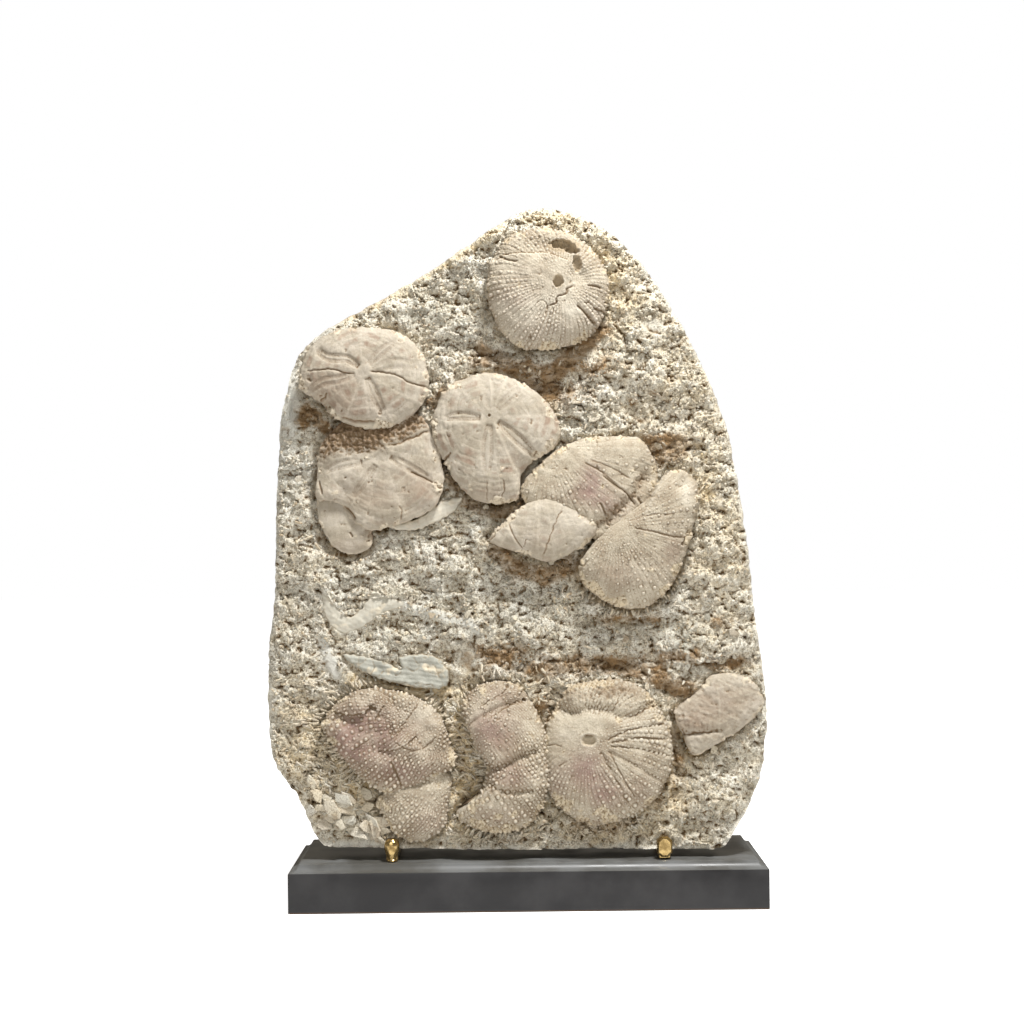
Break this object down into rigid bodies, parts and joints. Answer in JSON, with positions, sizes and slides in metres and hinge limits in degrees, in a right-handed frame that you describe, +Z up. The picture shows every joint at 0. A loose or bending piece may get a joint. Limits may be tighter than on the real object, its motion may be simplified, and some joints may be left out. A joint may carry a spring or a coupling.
{
  "type": "fossil urchin slab on stand",
  "caption": "Upright limestone slab set with fossil sea urchins and sand dollars, held by brass claws on a dark moulded base.",
  "frame": {"origin": "centre of the base's underside, which rests on the table", "axes": "+Z up, the slab's fossil side faces -Y, +X to the viewer's right"},
  "size_m": [0.3967, 0.14, 0.5526],
  "materials": {
    "limestone": "rough crumbly cream limestone",
    "urchin_test": "matt calcite with fine tubercles",
    "sand_dollar_test": "matt pinkish beige calcite",
    "shell": "smooth pale grey",
    "ebonised_wood": "satin black",
    "brass": "polished"
  },
  "bodies": {
    "root": {"base": "ebonised_wood", "claw_left": "brass", "claw_right": "brass", "matrix": "limestone", "urchin_top": "urchin_test", "sand_dollar_left": "sand_dollar_test", "sand_dollar_under": "sand_dollar_test", "sand_dollar_flap": "sand_dollar_test", "sand_dollar_centre": "sand_dollar_test", "sand_dollar_side": "sand_dollar_test", "sand_dollar_lower_right": "sand_dollar_test", "urchin_middle": "urchin_test", "urchin_right": "urchin_test", "urchin_lower_left": "urchin_test", "urchin_lower_left_fragment": "urchin_test", "urchin_lower_middle": "urchin_test", "urchin_lower_right": "urchin_test", "shell_crescent": "shell", "shell_fragment_grey": "shell", "shell_fragment_white": "shell"}
  },
  "joints": []
}
